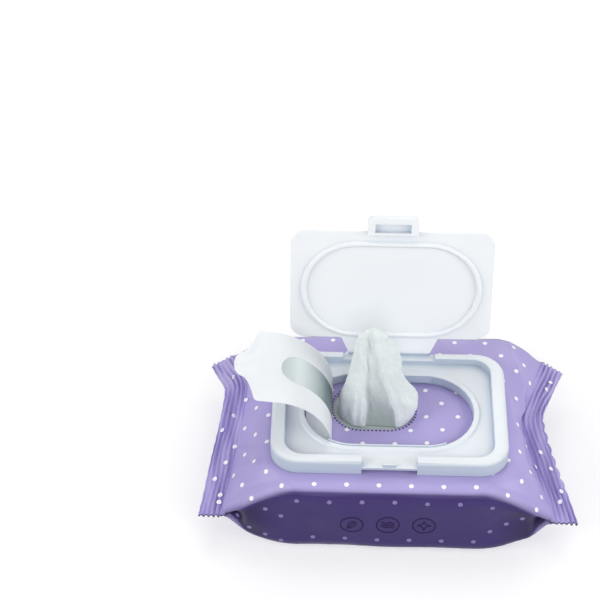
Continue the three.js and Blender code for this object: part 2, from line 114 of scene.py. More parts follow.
def spline(values, knots, at):
    """Smooth curve through values at knots (first axis), read at the given places."""
    values = np.asarray(values, float)
    knots = np.asarray(knots, float)
    slopes = np.gradient(values, knots, axis=0)
    k = np.clip(np.searchsorted(knots, at, side="right") - 1, 0, len(knots) - 2)
    span = knots[k + 1] - knots[k]
    t = (at - knots[k]) / span
    shape = (-1,) + (1,) * (values.ndim - 1)
    t, span = t.reshape(shape), span.reshape(shape)
    return ((2 * t**3 - 3 * t**2 + 1) * values[k] + (t**3 - 2 * t**2 + t) * span * slopes[k]
            + (-2 * t**3 + 3 * t**2) * values[k + 1] + (t**3 - t**2) * span * slopes[k + 1])


def grid_normals(points):
    """Unit normals of a grid of points that closes on itself along its second axis."""
    along = np.gradient(points, axis=0)
    across = np.roll(points, -1, axis=1) - np.roll(points, 1, axis=1)
    return unit(np.cross(across, along))


def rounded_box(x, y, half_x, half_y, radius):
    """Signed distance to a rounded rectangle's outline, negative inside."""
    qx = np.abs(x) - (half_x - radius)
    qy = np.abs(y) - (half_y - radius)
    outside = np.hypot(np.maximum(qx, 0), np.maximum(qy, 0))
    return outside + np.minimum(np.maximum(qx, qy), 0) - radius


def base_distance(x, y):
    return rounded_box(x, y - BASE_Y, BASE_WIDTH / 2, BASE_DEPTH / 2, BASE_CORNER)


def window_distance(x, y):
    return rounded_box(x, y - BASE_Y, WINDOW_WIDTH / 2, WINDOW_DEPTH / 2, WINDOW_DEPTH / 2)


def hole_distance(x, y):
    return rounded_box(x - HOLE_X, y - HOLE_Y, HOLE_WIDTH / 2, HOLE_DEPTH / 2, HOLE_CORNER)


def colour(r, g, b):
    """Linear colour of an sRGB colour given in 0..255."""
    def channel(c):
        c /= 255
        return c / 12.92 if c <= 0.04045 else ((c + 0.055) / 1.055) ** 2.4
    return (channel(r), channel(g), channel(b), 1.0)


# Mesh objects

def new_object(name, data):
    obj = bpy.data.objects.new(name, data)
    bpy.context.scene.collection.objects.link(obj)
    return obj


def shade_smooth(mesh, sharp=None):
    """Smooth shading, broken at the edges that turn by more than an angle in degrees."""
    mesh.polygons.foreach_set("use_smooth", [True] * len(mesh.polygons))
    if sharp is not None:
        mesh.set_sharp_from_angle(angle=math.radians(sharp))


def add_object(name, points, faces, places=None):
    """Mesh object from points in millimetres; places holds a pair of UV coordinates for each point."""
    mesh = bpy.data.meshes.new(name)
    mesh.from_pydata([tuple(c * MM for c in p) for p in points], [], faces)
    if places is not None:
        layer = mesh.uv_layers.new(name="print")
        layer.data.foreach_set("uv", [c for face in faces for i in face for c in places[i]])
    shade_smooth(mesh)
    mesh.update()
    return new_object(name, mesh)


def add_closed(name, points, faces, places=None, sharp=None):
    """Closed mesh object with its faces turned outwards."""
    obj = add_object(name, points, faces, places)
    work = bmesh.new()
    work.from_mesh(obj.data)
    bmesh.ops.recalc_face_normals(work, faces=work.faces)
    work.to_mesh(obj.data)
    work.free()
    shade_smooth(obj.data, sharp)
    return obj


def set_point_values(mesh, name, values):
    attribute = mesh.attributes.new(name, "FLOAT", "POINT")
    attribute.data.foreach_set("value", np.asarray(values, np.float32).reshape(-1))


def tube_faces(rows, count):
    """Quads of a grid of points, ring after ring, that closes on itself round each ring."""
    faces = []
    for r, i in np.ndindex(rows - 1, count):
        a, b = r * count + i, r * count + (i + 1) % count
        faces.append((a, b, b + count, a + count))
    return faces


def slab_faces(rows, columns):
    """Faces of a closed slab: two grids of points, one after the other, joined along their edges."""
    side, far = rows * columns, columns + 1
    faces = []
    for r, c in np.ndindex(rows - 1, columns - 1):
        a = r * columns + c
        faces.append((a, a + columns, a + far, a + 1))
        faces.append((side + a, side + a + 1, side + a + far, side + a + columns))
    for r in range(rows - 1):
        for a in (r * columns, (r + 1) * columns - 1):
            faces.append((a, side + a, side + a + columns, a + columns))
    for r in (0, rows - 1):
        for a in range(r * columns, (r + 1) * columns - 1):
            faces.append((a, a + 1, side + a + 1, side + a))
    return faces


def apply_modifiers(obj):
    graph = bpy.context.evaluated_depsgraph_get()
    mesh = bpy.data.meshes.new_from_object(obj.evaluated_get(graph))
    obj.modifiers.clear()
    obj.data = mesh
    shade_smooth(mesh)


def finish_piece(obj, material, body, slot, *nodes):
    obj.data.materials.clear()
    obj.data.materials.append(material)
    if nodes:
        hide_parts(*nodes)
    if body:
        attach(obj, body)


# Materials

NOISE_SPAN = (0.3, 0.7)


class Nodes:
    """Short calls for a material's node tree. Scales are per metre and bump distances are in metres."""

    def __init__(self, name):
        self.material = bpy.data.materials.new(name)
        self.material.use_nodes = True
        self.tree = self.material.node_tree
        self.shader = self.tree.nodes["Principled BSDF"]

    def put(self, node, key, value):
        socket = node.inputs[key]
        if isinstance(value, bpy.types.NodeSocket):
            self.tree.links.new(value, socket)
        else:
            socket.default_value = value

    def set(self, key, value):
        self.put(self.shader, key, value)

    def add(self, kind, **inputs):
        node = self.tree.nodes.new(kind)
        for key, value in inputs.items():
            self.put(node, key, value)
        return node

    def math(self, operation, *values, clamp=False):
        node = self.tree.nodes.new("ShaderNodeMath")
        node.operation = operation
        node.use_clamp = clamp
        for i, value in enumerate(values):
            self.put(node, i, value)
        return node.outputs[0]

    def noise(self, vector, scale, detail=3.0, roughness=0.55):
        return self.add("ShaderNodeTexNoise", Vector=vector, Scale=scale, Detail=detail,
                        Roughness=roughness).outputs["Fac"]

    def stretch(self, vector, scale):
        return self.add("ShaderNodeMapping", Vector=vector, Scale=scale).outputs[0]

    def range(self, value, source, target=(0.0, 1.0)):
        node = self.add("ShaderNodeMapRange", Value=value)
        for key, number in zip(("From Min", "From Max", "To Min", "To Max"), source + target):
            node.inputs[key].default_value = number
        return node.outputs[0]

    def mix(self, factor, a, b):
        node = self.tree.nodes.new("ShaderNodeMix")
        node.data_type = "RGBA"
        for index, value in ((0, factor), (6, a), (7, b)):
            self.put(node, index, value)
        return node.outputs[2]

    def bump(self, height, strength, distance, normal=None):
        node = self.add("ShaderNodeBump", Height=height, Strength=strength, Distance=distance)
        if normal is not None:
            self.put(node, "Normal", normal)
        return node.outputs[0]

    def object_space(self):
        return self.add("ShaderNodeTexCoord").outputs["Object"]

    def attribute(self, name):
        node = self.tree.nodes.new("ShaderNodeAttribute")
        node.attribute_name = name
        return node.outputs["Fac"]

    def rough(self, vector, scale, detail, target):
        """Roughness that wanders between the two values of the target."""
        self.set("Roughness", self.range(self.noise(vector, scale, detail), NOISE_SPAN, target))


def film_wrinkles(n, place):
    wrinkle = n.noise(n.stretch(place, (1.0, 1.6, 1.2)), scale=70.0, detail=4.0, roughness=0.6)
    return n.bump(wrinkle, strength=0.22, distance=0.0012)


def film_material():
    """Satin lavender film, with painted shade that darkens its upright faces, and darkens its tucked ends
    most.
    """
    n = Nodes("film")
    place = n.object_space()
    depth = n.attribute("upright")
    plain = n.mix(n.noise(place, scale=28.0), colour(170, 158, 212), colour(180, 169, 219))
    # Painted shade: by the upright attribute, the upright faces go deep violet and the tucked ends
    # near-black violet
    face = n.mix(n.range(depth, (0.0, 1.0)), plain, colour(60, 44, 106))
    n.set("Base Color", n.mix(n.range(depth, (1.0, 2.0)), face, colour(26, 17, 52)))
    n.rough(place, scale=90.0, detail=4.0, target=(0.34, 0.5))
    n.set("Specular IOR Level", 0.28)
    n.set("Coat Weight", 0.06)
    n.set("Coat Roughness", 0.25)
    fine = n.noise(place, scale=900.0, detail=2.0)
    relief = n.bump(fine, strength=0.06, distance=0.0002, normal=film_wrinkles(n, place))
    n.set("Normal", relief)
    return n.material


def dot_material():
    """White ink of the dots, with painted shade on the upright faces."""
    n = Nodes("dot_ink")
    place = n.object_space()
    white = n.mix(n.noise(place, scale=400.0, detail=2.0), colour(243, 242, 250), colour(250, 249, 254))
    # Painted shade: dots on the upright faces darken towards violet
    n.set("Base Color", n.mix(n.attribute("upright"), white, colour(132, 118, 174)))
    n.rough(place, scale=90.0, detail=4.0, target=(0.36, 0.52))
    n.set("Normal", film_wrinkles(n, place))
    return n.material


def plastic_material(name, low, high, crevice_shade_share, wall_shade_share):
    """Fine matt moulded plastic, with painted blue-grey shade in its crevices and on its upright walls."""
    n = Nodes(name)
    place = n.object_space()
    # Painted shade: ambient occlusion turns the crevices blue-grey, and the upright faces turn blue-grey too
    crevice = n.add("ShaderNodeAmbientOcclusion", Distance=0.005)
    crevice.samples = 8
    ao_shade = n.range(crevice.outputs["AO"], (0.35, 0.92), (crevice_shade_share, 0.0))
    facing = n.add("ShaderNodeSeparateXYZ", Vector=n.add("ShaderNodeNewGeometry").outputs["Normal"])
    upright = n.range(n.math("ABSOLUTE", facing.outputs[2]), (0.15, 0.8), (wall_shade_share, 0.0))
    plain = n.mix(n.noise(place, scale=14.0, detail=2.0), low, high)
    painted_cool_shade = n.math("MAXIMUM", ao_shade, upright)
    n.set("Base Color", n.mix(painted_cool_shade, plain, colour(150, 170, 196)))
    n.rough(place, scale=160.0, detail=3.0, target=(0.33, 0.47))
    n.set("Specular IOR Level", 0.4)
    flow = n.bump(n.noise(place, scale=45.0, detail=2.0), strength=0.05, distance=0.0006)
    grain = n.noise(place, scale=2600.0, detail=2.0)
    n.set("Normal", n.bump(grain, strength=0.05, distance=0.0001, normal=flow))
    return n.material


# The label's patch, in millimetres along the label and across it
PATCH_MIDDLE, PATCH_HALF, PATCH_RADIUS, PATCH_BLUR = (31.0, 1.0), 21.8, 8.6, 0.15
# Runs where the patch goes from painted shade at the fold to a painted highlight, and where it falls to
# painted shade at its far end
PATCH_SHADED, PATCH_END_SHADE = (26.0, 45.0), (43.0, 53.0)


def label_material():
    """White satin film, with a rounded patch of silvery film on its adhesive side, painted with shade near
    the fold, a highlight beyond and shade again at its far end.
    """
    n = Nodes("label")
    place = n.object_space()
    uv = n.tree.nodes.new("ShaderNodeUVMap")
    uv.uv_map = "print"
    split = n.add("ShaderNodeSeparateXYZ", Vector=uv.outputs[0])
    run, across = (n.math("MULTIPLY", split.outputs[k], 1 / MM) for k in range(2))
    along = n.math("ABSOLUTE", n.math("SUBTRACT", run, PATCH_MIDDLE[0]))
    past = n.math("MAXIMUM", n.math("SUBTRACT", along, PATCH_HALF - PATCH_RADIUS), 0.0)
    aside = n.math("SUBTRACT", across, PATCH_MIDDLE[1])
    squares = n.math("ADD", n.math("MULTIPLY", past, past), n.math("MULTIPLY", aside, aside))
    away = n.math("SUBTRACT", n.math("SQRT", squares), PATCH_RADIUS)
    patch = n.range(away, (-PATCH_BLUR, PATCH_BLUR), (1.0, 0.0))
    white = n.mix(n.noise(place, scale=60.0), colour(226, 230, 234), colour(237, 240, 243))
    # Painted shade and highlight: dark at the fold, bright further along, duller at the far end
    shaded_silver = n.mix(n.range(run, PATCH_SHADED), colour(116, 132, 134), colour(224, 232, 233))
    shaded_silver = n.mix(n.range(run, PATCH_END_SHADE), shaded_silver, colour(182, 194, 194))
    n.set("Base Color", n.mix(patch, white, shaded_silver))
    n.rough(place, scale=220.0, detail=3.0, target=(0.36, 0.54))
    ripple = n.noise(n.stretch(place, (1.0, 0.35, 1.0)), scale=110.0)
    ripples = n.bump(ripple, strength=0.12, distance=0.0005)
    n.set("Normal", n.bump(patch, strength=0.5, distance=0.0001, normal=ripples))
    return n.material


def blend(n, a, b, share):
    """Sum of two values, with a share for the first and the rest for the second."""
    return n.math("ADD", n.math("MULTIPLY", a, share), n.math("MULTIPLY", b, 1 - share))


def wipe_material(name, low, high):
    """Moist non-woven cloth: fine fibres in every direction with a slight upright grain, darkened by painted
    shade in the hollow and round the foot.
    """
    n = Nodes(name)
    place = n.object_space()
    fibre = n.noise(n.stretch(place, (1.0, 1.0, 0.14)), scale=1100.0, detail=5.0, roughness=0.7)
    cross = n.noise(n.stretch(place, (0.5, 1.0, 1.4)), scale=800.0, detail=4.0, roughness=0.7)
    cell = n.add("ShaderNodeTexVoronoi", Vector=place, Scale=620.0).outputs["Distance"]
    mottle = n.noise(place, scale=120.0, detail=4.0, roughness=0.65)
    web = blend(n, fibre, cross, share=0.6)
    dry = n.mix(n.range(blend(n, web, mottle, share=0.6), NOISE_SPAN), low, high)
    # Painted shade: the cloth darkens to grey-green by the sheet's shade attribute
    n.set("Base Color", n.mix(n.attribute("cloth_shade"), dry, colour(158, 170, 169)))
    n.set("Roughness", n.range(mottle, NOISE_SPAN, (0.72, 0.92)))
    n.set("Sheen Weight", 0.25)
    n.set("Sheen Roughness", 0.5)
    soft = n.noise(n.stretch(place, (1.0, 1.0, 0.25)), scale=170.0, detail=4.0, roughness=0.65)
    relief = n.bump(soft, strength=0.35, distance=0.0012)
    relief = n.bump(web, strength=0.5, distance=0.0006, normal=relief)
    n.set("Normal", n.bump(cell, strength=0.2, distance=0.0003, normal=relief))
    return n.material


def ink_material(name, low, high):
    """Thin satin ink, slightly uneven."""
    n = Nodes(name)
    place = n.object_space()
    n.set("Base Color", n.mix(n.noise(place, scale=500.0, detail=2.0), low, high))
    n.rough(place, scale=300.0, detail=2.0, target=(0.4, 0.55))
    n.set("Specular IOR Level", 0.2)
    return n.material


# Film wrapper

# A ring of points goes round the pack at each step along it. The stage runs from 0 on the straight body
# to 1 at an end seal, the band from 0 to 1 across the seal. Side is -1 at the left end and 1 at the right.
# Each wave is a height times the sine of a place over a length, in millimetres.
HALF_COUNT, CORNER_STEPS, MOST_CORNER = 120, 40, 0.9
BODY_STEPS, SHOULDER_STEPS, SEAL_STEPS = 66, 26, 36
BEND_SOFTNESS, RIDGE_HEIGHT = 0.15, 0.8
EDGE_SCALLOP, SCALLOP_LENGTH, TORN_SCALLOP = 0.2, 6.2, 0.9
SEAM_HALF, SEAM_RIDGE = 7.5, 2.6
LIP_DEPTH = 0.45
# Folds down each shoulder: the places in depth where they start and end, their width and their height
SHOULDER_FOLDS = {
    1: [(30, 10, 2.6, 0.7), (12, 0, 3.0, 0.5), (-8, -9, 3.2, 0.7),
        (-27, -20, 2.6, 0.9), (-40, -33, 2.2, 0.8), (-46, -45, 1.6, 0.5)],
    -1: [(33, 19, 2.6, 0.6), (17, 14, 2.8, 0.7), (-4, 2, 3.4, 0.6),
         (-20, -14, 2.6, 0.8), (-34, -29, 2.2, 0.7), (-45, -43, 1.8, 0.6)],
}
# The broad fold at the rear of each shoulder: the places where it starts and ends, and its height
REAR_FOLDS = {1: (47, 6, 2.4), -1: (46, 22, 1.6)}
REAR_FOLD_WIDTH = 7


def seal_edge(side, y):
    """Outer edge of an end seal, in length and height, at places in depth."""
    bend_y, inset, bend_z = LEFT_BEND if side < 0 else RIGHT_BEND
    reach = np.where(y < bend_y, SEAL_HALF_DEPTH + bend_y, SEAL_HALF_DEPTH - bend_y)
    away = np.hypot(np.minimum(np.abs(y - bend_y) / reach, 1), BEND_SOFTNESS) - BEND_SOFTNESS
    rise = 1 - away / (math.hypot(1, BEND_SOFTNESS) - BEND_SOFTNESS)
    return side * (SEAL_TIP_X - inset * rise), lerp(SEAL_TIP_Z, bend_z, rise)


def section(stage):
    """Closed section in depth and in height from -1 below to 1 above, evenly spaced, with the way
    round it measured from the top's middle. The seam of that measure is under the pack."""
    half_depth = lerp(PACK_DEPTH / 2, SEAL_HALF_DEPTH, stage)
    corner = lerp(EDGE_RADIUS, FOLD_RADIUS, stage)
    tip_top = lerp(PACK_HEIGHT, SEAL_TIP_Z + SEAL_THICK / 2, stage ** TOP_FALL)
    tip_under = lerp(0, SEAL_TIP_Z - SEAL_THICK / 2, stage ** UNDER_RISE)
    half_height = (tip_top - tip_under) / 2
    corner_height = min(corner / half_height, MOST_CORNER)
    angle = np.linspace(0, math.pi / 2, CORNER_STEPS)
    arc_y = half_depth - corner + corner * np.cos(angle)
    arc_z = 1 - corner_height + corner_height * np.sin(angle)
    y = np.concatenate([[half_depth], arc_y, -arc_y[::-1], [-half_depth]])
    z = np.concatenate([[0], arc_z, arc_z[::-1], [0]])
    run = run_along(np.stack([y, z * half_height], 1))
    even = np.linspace(0, run[-1], HALF_COUNT + 1)
    upper_y, upper_z = np.interp(even, run, y), np.interp(even, run, z)
    way = even - run[-1] / 2
    below = np.where(way >= 0, run[-1] - way, -run[-1] - way)
    return (np.concatenate([upper_y, upper_y[-2:0:-1]]),
            np.concatenate([upper_z, -upper_z[-2:0:-1]]),
            np.concatenate([way, below[-2:0:-1]]))


def body_end(y):
    """Half length of the straight body, shorter at its front and rear edges."""
    edge_half = np.where(y < 0, FRONT_EDGE_HALF, REAR_EDGE_HALF)
    return lerp(TOP_HALF, edge_half, smooth(np.abs(y) / (PACK_DEPTH / 2), 0.62, 1))


def body_ring(part):
    """Ring of the straight body: x, y, z, way round and height from -1 to 1."""
    y, height, way = section(0.0)
    return lerp(-1, 1, part) * body_end(y), y, PACK_HEIGHT * (1 + height) / 2, way, height


def end_ring(side, stage, band):
    """Ring of a shoulder or an end seal: x, y, z, way round and height from -1 to 1."""
    y, height, way = section(stage)
    edge_x, edge_z = seal_edge(side, y)
    x = lerp(side * body_end(y), edge_x - side * SEAL_WIDTH * (1 - band), stage)
    seal = edge_z + SEAL_REAR_LIFT * (1 - band) * smooth(y / SEAL_HALF_DEPTH, 0.1, 1)
    top = lerp(PACK_HEIGHT, seal + SEAL_THICK / 2, stage ** TOP_FALL)
    under = lerp(0, seal - SEAL_THICK / 2, stage ** UNDER_RISE)
    z = lerp(under, top, (1 + height) / 2) + seal_ridges(side, y, band)
    return x + edge_scallop(side, y, band), y, z, way, height


def seal_ridges(side, y, band):
    """Height of the crimp's ridges, which wander and come out unevenly, with a slow wave of the edge."""
    fade = smooth(band, 0.0, 0.08) * smooth(1 - band, 0.0, 0.05)
    wander = 1.1 * np.sin(y / 9.5 + side) + 0.6 * np.sin(y / 4.3 + 4 * band)
    uneven = 0.85 + 0.35 * np.sin(y / 11 + 2 * side + 5 * band) + 0.25 * np.sin(y / 5.1 - 9 * band)
    ridges = RIDGE_HEIGHT * fade * uneven * np.sin(band * SEAL_RIDGES * TURN + wander)
    return ridges + 0.55 * band * np.sin(y / 6.3 + 1.4 * side)


def edge_scallop(side, y, band):
    """Small scallops along a seal's cut edge, larger on one stretch of the right one."""
    depth = EDGE_SCALLOP
    if side > 0:
        depth = depth + TORN_SCALLOP * smooth(y, -38, -28) * (1 - smooth(y, 2, 8))
    arches = np.abs(np.sin(math.pi * y / SCALLOP_LENGTH + side)) - 0.6
    return side * depth * arches * smooth(band, 0.84, 1)


def shoulder_folds(stage, side, y):
    """Height of the folds that run down the shoulders, in turn raised and sunk."""
    height = np.zeros_like(y)
    for hand, folds in SHOULDER_FOLDS.items():
        from_y, to_y, size = REAR_FOLDS[hand]
        lines = size * np.exp(-np.abs(y - lerp(from_y, to_y, stage)) / REAR_FOLD_WIDTH)
        for k, (from_y, to_y, width, size) in enumerate(folds):
            middle = lerp(from_y, to_y, smooth(stage, 0.0, 1.0)) + 1.2 * np.sin(stage * 5 + k)
            away = np.abs(y - middle) / (width * lerp(1.3, 0.7, stage))
            sign = -1 if k % 2 else 1
            lines += sign * size * lerp(0.35, 1.0, stage) * np.exp(-np.power(away, 1.3))
        height += (side == hand) * lines
    return height * smooth(stage, 0.02, 0.25) * (1 - smooth(stage, 0.9, 1.0))


def face_dents(stage, x, z):
    """Dents of the upright faces."""
    broad = 0.44 * np.sin(x / 15 + 0.8) * np.sin(z / 9 + 0.4 + 0.3 * np.sin(x / 23))
    slanted = 0.28 * np.sin(x / 7.5 + z / 10 + 1.7) + 0.24 * np.sin(x / 27 - z / 6)
    return (broad + slanted) * (1 - smooth(stage, 0.5, 0.95))


def gusset_forms(stage, share, x, z):
    """Creases of the gussets between body and seals, and the tuck that sinks their middle."""
    creases = smooth(stage, 0.05, 0.6) * (1 - smooth(stage, 0.8, 1.0))
    tuck = 0.3 * smooth(stage, 0.05, 0.3) + 4.2 * smooth(stage, 0.64, 0.84)
    sunk = tuck * (1 - share ** 2) * (1 - smooth(stage, 0.9, 1.0))
    return creases * (0.4 * np.sin(z / 3.4 + x / 6) + 0.1) - sunk


def top_forms(stage, x, y):
    """Ripples of the top round the frame, and the film's bulge in the window, right of the hole."""
    clear = (1 - smooth(stage, 0.0, 0.3)) * smooth(base_distance(x, y), 0.5, 5.0)
    ripples = 0.25 * np.sin(x / 9 + 0.4) * np.sin(y / 5 + 1) + 0.15 * np.sin(x / 4.3 + y / 6)
    in_window = smooth(-window_distance(x, y), 0.3, 5.0) * smooth(hole_distance(x, y), 0.5, 9.0)
    return clear * ripples + 1.3 * in_window * smooth(x, 0, 22)


def film_forms(stage, side, points, share, normal):
    """Height of the film's folds and dents above the plain form."""
    x, y, z = np.moveaxis(points, -1, 0)
    top = smooth(normal[..., 2], -0.1, 0.35)
    upright = 1 - smooth(np.abs(normal[..., 2]), 0.55, 0.9)
    on_top = shoulder_folds(stage, side, y) + top_forms(stage, x, y)
    on_faces = face_dents(stage, x, z) + gusset_forms(stage, share, x, z)
    return top * on_top + upright * on_faces


def film_grid():
    """The film's points and plain normals, ring by ring, with their measures along and round the pack."""
    steps = [(k / SHOULDER_STEPS, 0.0) for k in range(SHOULDER_STEPS + 1)]
    steps += [(1.0, k / SEAL_STEPS) for k in range(1, SEAL_STEPS + 1)]
    rings = [(stage, -1, end_ring(-1, stage, band)) for stage, band in reversed(steps)]
    rings += [(0.0, 0, body_ring(k / BODY_STEPS)) for k in range(1, BODY_STEPS)]
    rings += [(stage, 1, end_ring(1, stage, band)) for stage, band in steps]
    grid = np.array([ring for _, _, ring in rings])
    points, way, share = np.moveaxis(grid[:, :3], 1, 2), grid[:, 3], grid[:, 4]
    stage = np.array([stage for stage, _, _ in rings])[:, None] * np.ones_like(way)
    side = np.array([side for _, side, _ in rings])[:, None]
    normal = grid_normals(points)
    x, y = points[..., 0], points[..., 1]
    flat_under = smooth(-normal[..., 2], 0.9, 0.99) * (1 - smooth(stage, 0.0, 0.3))
    seam = flat_under * smooth(SEAM_HALF - np.abs(y), 0, 1.2)
    seam_rise = seam * (0.28 + 0.18 * np.sin(x * TURN / SEAM_RIDGE))
    points = points + normal * film_forms(stage, side, points, share, normal)[..., None]
    points[..., 2] = np.maximum(points[..., 2] + seam_rise, 0)
    length = run_along(points)
    return points, normal, length - length[len(length) // 2], way


def to_hole_edge(points, offset=0.0):
    """Points in plan, moved onto the line that runs outside the hole's edge by an offset."""
    step, tries = 0.05, 3
    for _ in range(tries):
        x, y = points.T
        slope_x = hole_distance(x + step, y) - hole_distance(x - step, y)
        slope_y = hole_distance(x, y + step) - hole_distance(x, y - step)
        slope = np.stack([slope_x, slope_y], 1) / (2 * step)
        points = points - slope * (hole_distance(x, y) - offset)[:, None]
    return points


def film_painted_shade(x, normal):
    """Share of painted shade on the film: 0 on top, 1 on the upright faces, up to 1.8 in the tucked ends."""
    steep = rolling_mean(smooth(np.abs(normal[..., 1]), 0.52, 0.76), reach=3)
    return steep * (1 + 0.8 * smooth(steep, 0.5, 1.0) * smooth(np.abs(x), 48, 72))


def turn_in_lip(mesh):
    """Turns the film down at the hole's edge, and drops the points left over inside the hole."""
    work = bmesh.new()
    work.from_mesh(mesh)
    bmesh.ops.delete(work, geom=[v for v in work.verts if not v.link_faces], context="VERTS")
    lip = bmesh.ops.extrude_edge_only(work, edges=[e for e in work.edges if e.is_boundary])["geom"]
    for v in (g for g in lip if isinstance(g, bmesh.types.BMVert)):
        v.co.z -= LIP_DEPTH * MM
    bmesh.ops.recalc_face_normals(work, faces=work.faces)
    work.to_mesh(mesh)
    work.free()


def make_film(grid, material):
    """The film with its hole; returns a search tree of its surface."""
    rows, count = grid[0].shape[:2]
    points = grid[0].reshape(-1, 3).copy()
    over_hole = (hole_distance(points[:, 0], points[:, 1]) < 0) & (points[:, 2] > PACK_HEIGHT - 1)
    faces = [quad for quad in tube_faces(rows, count) if not over_hole[list(quad)].all()]
    edge = sorted({k for quad in faces for k in quad if over_hole[k]})
    points[edge, :2] = to_hole_edge(points[edge, :2])
    tree = BVHTree.FromPolygons([Vector(p) * MM for p in points], faces)
    for first in (0, (rows - 1) * count):
        for i in range(HALF_COUNT):
            ends = (i, i + 1, (count - i - 1) % count, (count - i) % count)
            faces.append([first + k for k in dict.fromkeys(ends)])
    film = add_object("film_wrap", points, faces)
    # The upright attribute carries the painted shade of the film's upright faces and tucked ends
    set_point_values(film.data, "upright", film_painted_shade(points[:, 0].reshape(rows, count), grid[1]))
    turn_in_lip(film.data)
    shade_smooth(film.data, sharp=48)
    finish_piece(film, material, "pack", "film", "film_wrapper")
    return tree


# Dots of the print

DOT_PITCH, DOT_OFFSET, DOT_RADIUS = (15.2, 8.7), (2.8, 4.9), 1.15
DOT_ROWS, DOT_COLUMNS, DOT_NEAR = 18, 8, 1.6
DOT_LIFT, DOT_SAG, DOT_RAY = 0.07, 0.3, 3.0
DOT_RINGS, DOT_SIDES, DOT_FACING = 5, 28, 0.1
# Where dots are left out: the seals' edges and tips, the frame, the hole and the front's bare band
EDGE_CLEAR, TIP_LENGTH, TIP_DEPTH = 2.2, 18.0, 3.0
FRAME_COVER, BEAD_COVER, HOLE_MARGIN = 1.0, 0.6, 1.6
FRONT_DEPTH, TOP_DEPTH = 4.0, 2.0
BARE_HALF, BARE_LOW, BARE_HIGH = 44.0, 10.5, 29.0


def make_dots(grid, film_tree, material):
    """Staggered rows of round dots laid on the film, wherever it can be seen."""
    points, _, length, way = grid
    measures = np.stack([length, way], -1).reshape(-1, 2)
    step_along = np.gradient(points, axis=0) / np.gradient(length, axis=0)[..., None]
    turn = np.roll(way, -1, axis=1) - np.roll(way, 1, axis=1)
    turn = np.where(np.abs(turn) < 1e-6, 1e-6, turn)
    step_round = (np.roll(points, -1, axis=1) - np.roll(points, 1, axis=1)) / turn[..., None]
    vertices, faces, steep = [], [], []
    for row in range(-DOT_ROWS, DOT_ROWS + 1):
        q = DOT_OFFSET[1] + row * DOT_PITCH[1]
        for column in range(-DOT_COLUMNS, DOT_COLUMNS + 1):
            p = DOT_OFFSET[0] + (column - 0.5 * (row % 2)) * DOT_PITCH[0]
            off = np.abs(measures - (p, q))
            nearest = int(np.argmin((off ** 2).sum(axis=1)))
            if max(off[nearest]) > DOT_NEAR:
                continue
            c = divmod(nearest, points.shape[1])
            centre = points[c] + step_along[c] * (p - length[c]) + step_round[c] * (q - way[c])
            if not dot_hidden(*centre):
                add_dot(film_tree, centre, vertices, faces, steep)
    obj = add_object("film_dots", vertices, faces)
    set_point_values(obj.data, "upright", steep)
    finish_piece(obj, material, "pack", "film")


def dot_hidden(x, y, z):
    """True under the frame, in the hole, in the front's bare band and at the edges of the end seals."""
    edge_x = seal_edge(math.copysign(1, x), np.array([y]))[0][0]
    if abs(x) > abs(edge_x) - EDGE_CLEAR:
        return True
    if abs(x) > SEAL_TIP_X - TIP_LENGTH and abs(y) > SEAL_HALF_DEPTH - TIP_DEPTH:
        return True
    if z < PACK_HEIGHT - TOP_DEPTH:
        in_front = y < FRONT_DEPTH - PACK_DEPTH / 2
        return in_front and abs(x) < BARE_HALF and BARE_LOW < z < BARE_HIGH
    under_frame = base_distance(x, y) < -FRAME_COVER and window_distance(x, y) >= BEAD_COVER
    return under_frame or hole_distance(x, y) < HOLE_MARGIN


def mean_normal(film_tree, spot, normal):
    """The film's mean direction within two radii of a dot's centre."""
    side = normal.orthogonal().normalized()
    over = normal.cross(side)
    total = Vector(normal)
    for reach in (DOT_RADIUS, 2 * DOT_RADIUS):
        for c, s in circle(8):
            place = spot + (side * c + over * s) * (reach * MM)
            total += film_tree.find_nearest(place)[1]
    return total.normalized()


def add_dot(film_tree, centre, vertices, faces, steep):
    """One dot, laid on the film along the film's mean direction there; left out where a fold cuts it."""
    spot, normal = film_tree.find_nearest(Vector(centre) * MM)[:2]
    axis = mean_normal(film_tree, spot, normal)
    side = axis.orthogonal().normalized()
    over = axis.cross(side)
    offsets = [Vector((0, 0, 0))]
    for ring in range(1, DOT_RINGS + 1):
        radius = DOT_RADIUS * ring / DOT_RINGS
        offsets += [(side * c + over * s) * radius for c, s in circle(DOT_SIDES)]
    heights = []
    for offset in offsets:
        start = spot + (offset + axis * DOT_RAY) * MM
        hit, facing = film_tree.ray_cast(start, -axis, 2 * DOT_RAY * MM)[:2]
        if hit is None or facing.dot(axis) < DOT_FACING:
            return
        heights.append((hit - spot).dot(axis) / MM)
    first, lowest = len(vertices), max(heights) - DOT_SAG
    for offset, height in zip(offsets, heights):
        vertices.append(tuple(spot / MM + offset + axis * (max(height, lowest) + DOT_LIFT)))
    # Share of painted shade for this dot, more where it faces front or rear
    steep += [float(smooth(abs(axis.y), 0.45, 0.85))] * len(offsets)
    for k in range(DOT_SIDES):
        j = (k + 1) % DOT_SIDES
        faces.append((first, first + 1 + k, first + 1 + j))
        for ring in range(DOT_RINGS - 1):
            a = first + 1 + ring * DOT_SIDES
            faces.append((a + k, a + DOT_SIDES + k, a + DOT_SIDES + j, a + j))


# Perforation round the hole

MARK_COUNT, MARK_RADIUS, MARK_SIDES = 62, 0.5, 10
MARK_OFFSET, MARK_LIFT, MARK_CROWN = 0.75, 0.06, 0.05
RAY_HEIGHT = 80.0


